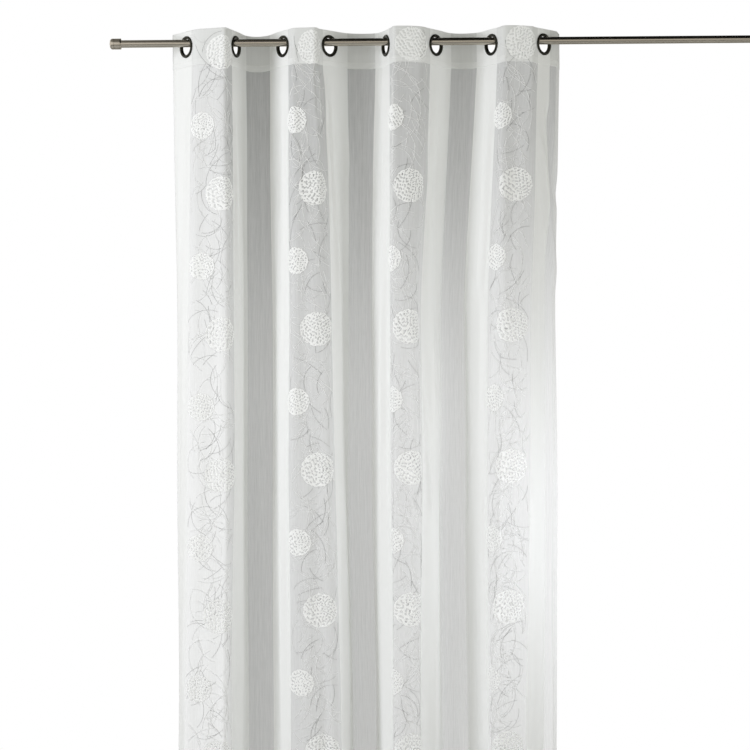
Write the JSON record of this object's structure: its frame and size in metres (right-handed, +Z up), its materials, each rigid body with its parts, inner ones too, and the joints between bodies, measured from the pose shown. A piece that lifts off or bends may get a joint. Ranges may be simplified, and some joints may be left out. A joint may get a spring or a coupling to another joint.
{
  "type": "sheer voile curtain on a rod",
  "caption": "Sheer striped voile curtain with a stiffened heading and metal eyelets, hanging in soft even folds from a round metal rod with end caps.",
  "frame": {"origin": "on the rod's axis, at the middle of its length over the caps", "axes": "+X along the rod, +Z up; the curtain's front faces -Y"},
  "size_m": [1.8, 0.1293, 2.4],
  "materials": {
    "voile": "sheer off-white polyester voile with woven satin stripes and worked white dots",
    "heading": "doubled voile over a stiffening strip, off-white",
    "eyelet_metal": "dark polished gunmetal plating",
    "rod_metal": "satin nickel plating, drawn along the rod"
  },
  "bodies": {
    "root": {"curtain_panel": "voile", "heading_band": "heading", "eyelet_front_1": "eyelet_metal", "eyelet_front_2": "eyelet_metal", "eyelet_front_3": "eyelet_metal", "eyelet_front_4": "eyelet_metal", "eyelet_front_5": "eyelet_metal", "eyelet_front_6": "eyelet_metal", "eyelet_front_7": "eyelet_metal", "eyelet_front_8": "eyelet_metal", "eyelet_back_1": "eyelet_metal", "eyelet_back_2": "eyelet_metal", "eyelet_back_3": "eyelet_metal", "eyelet_back_4": "eyelet_metal", "eyelet_back_5": "eyelet_metal", "eyelet_back_6": "eyelet_metal", "eyelet_back_7": "eyelet_metal", "eyelet_back_8": "eyelet_metal", "rod": "rod_metal", "end_cap_left": "rod_metal", "end_cap_right": "rod_metal"}
  },
  "joints": []
}
